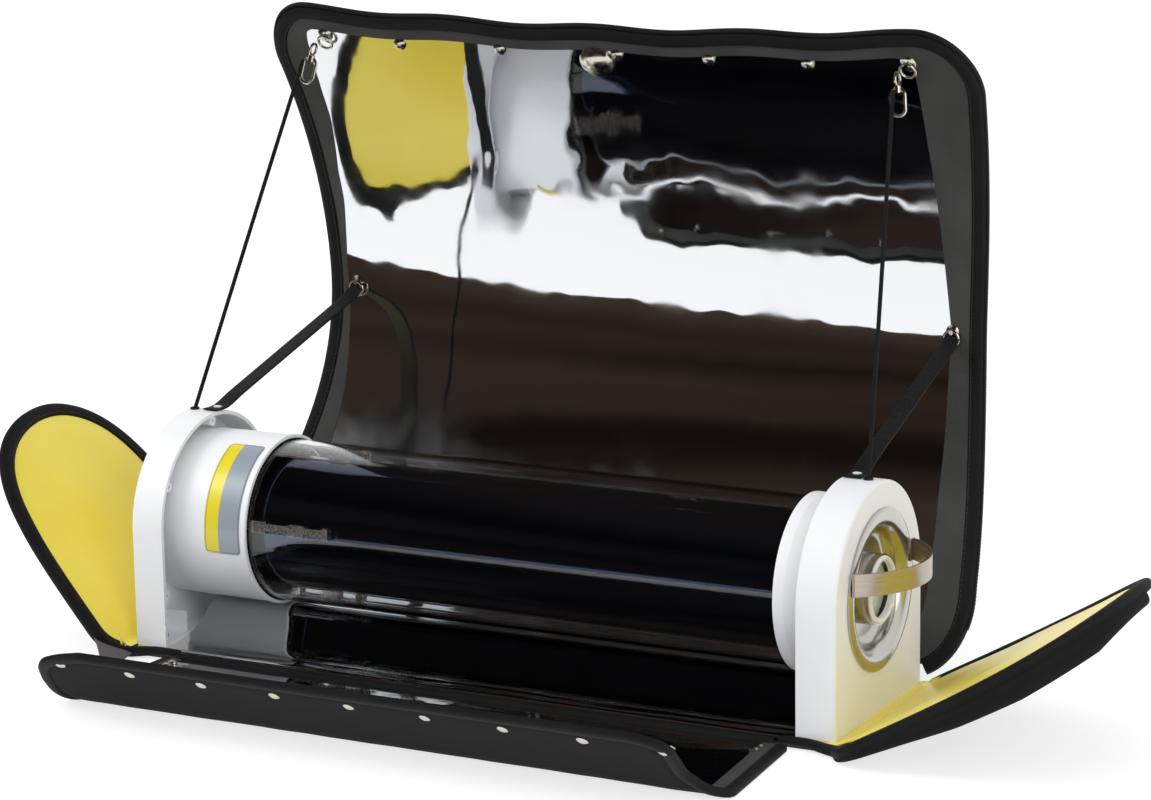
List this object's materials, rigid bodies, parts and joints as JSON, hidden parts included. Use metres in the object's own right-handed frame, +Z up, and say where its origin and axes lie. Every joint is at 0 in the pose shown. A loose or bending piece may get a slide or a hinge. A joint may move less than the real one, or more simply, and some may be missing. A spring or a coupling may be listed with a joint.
{
  "type": "box solar cooker",
  "caption": "Portable solar cooker: a dark evacuated glass tube with a pull-out cooking tray, in a soft case whose panels unfold into curved mirrors.",
  "frame": {"origin": "on the floor, under the middle of the base board", "axes": "+X along the glass tube towards the tray handle, +Y towards the tall back panel, +Z up"},
  "size_m": [0.9387, 0.4919, 0.4815],
  "materials": {
    "case_fabric": "woven polyester over foam board",
    "border_fabric": "dark grey woven facing",
    "yellow_lining": "glossy coated lining",
    "foam": "soft foam",
    "reflector_film": "metallised film",
    "bracket_plastic": "moulded white plastic",
    "label_film": "blank two-tone sticker",
    "satin_steel": "satin stainless steel",
    "clear_glass": "clear borosilicate glass",
    "coated_glass": "dark selective coating",
    "silicone": "silicone",
    "cord": "braided cord",
    "webbing": "flat webbing",
    "hardware": "nickel plated"
  },
  "bodies": {
    "base": {"case_base": "case_fabric", "base_lining": "yellow_lining", "reflector_saddle": "foam", "base_mirror": "reflector_film", "left_bracket": "bracket_plastic", "right_bracket": "bracket_plastic", "left_sleeve": "bracket_plastic", "right_collar": "bracket_plastic", "sleeve_label": "label_film", "bracket_screws": "satin_steel", "cord_eyelets": "silicone", "strap_rivets": "bracket_plastic", "outer_glass": "clear_glass", "inner_glass": "coated_glass", "support_spring": "satin_steel", "tail_cushion": "silicone", "sleeve_seal": "silicone", "mouth_gasket": "silicone"},
    "tray": {"tray_trough": "satin_steel", "tray_plug": "bracket_plastic", "plug_seals": "silicone", "tray_dish": "satin_steel", "knob_housing": "satin_steel", "knob_ring": "bracket_plastic", "knob_lens": "clear_glass", "strap_handle": "satin_steel"},
    "lid": {"lid_panel": "case_fabric", "lid_border": "border_fabric", "lid_mirror": "reflector_film", "lid_binding": "case_fabric", "lid_binding_left": "case_fabric", "lid_binding_right": "case_fabric", "lid_zip": "hardware", "lid_snaps": "hardware", "lid_button": "hardware", "corner_rings": "hardware", "left_snap_hook": "hardware", "right_snap_hook": "hardware", "side_rings": "hardware", "cord_left": "cord", "cord_right": "cord", "strap_left": "webbing", "strap_right": "webbing"},
    "front_flap": {"flap_floor_panel": "case_fabric", "flap_lip_panel": "case_fabric", "flap_mirror": "reflector_film", "flap_border": "border_fabric", "flap_binding": "case_fabric", "flap_rivets": "hardware", "flap_snaps": "hardware"},
    "left_wing": {"left_wing_panel": "case_fabric", "left_wing_lining": "yellow_lining", "left_wing_binding": "case_fabric"},
    "right_wing_root": {"right_wing_hem": "case_fabric"},
    "right_wing": {"right_wing_panel": "case_fabric", "right_wing_lining": "yellow_lining", "right_wing_binding": "case_fabric"}
  },
  "joints": [
    {"name": "lid_hinge", "type": "hinge", "parent": "base", "child": "lid", "pos_m": [0, 0.089, 0.007], "axis": [1, 0, 0], "range_deg": [0, 38], "deforming": ["cord_left", "cord_right", "strap_left", "strap_right"]},
    {"name": "flap_hinge", "type": "hinge", "parent": "base", "child": "front_flap", "pos_m": [0, -0.089, 0.0045], "axis": [-1, 0, 0], "range_deg": [0, 75]},
    {"name": "left_wing_hinge", "type": "hinge", "parent": "base", "child": "left_wing", "pos_m": [-0.2996, 0, 0.0045], "axis": [0, -1, 0], "range_deg": [-35, 46]},
    {"name": "right_wing_lower", "type": "hinge", "parent": "base", "child": "right_wing_root", "pos_m": [0.2996, 0, 0.0045], "axis": [0, 1, 0], "range_deg": [0, 29.4]},
    {"name": "right_wing_hinge", "type": "hinge", "parent": "right_wing_root", "child": "right_wing", "pos_m": [0.2996, 0, 0.0045], "axis": [0, 1, 0], "range_deg": [-34, 0]},
    {"name": "tray_slide", "type": "slide", "parent": "base", "child": "tray", "axis": [1, 0, 0], "range_m": [0, 0.21]}
  ],
  "couplings": [
    {"joint": "right_wing_lower", "follows": "tray_slide", "rad_per_m": 2.4434}
  ]
}
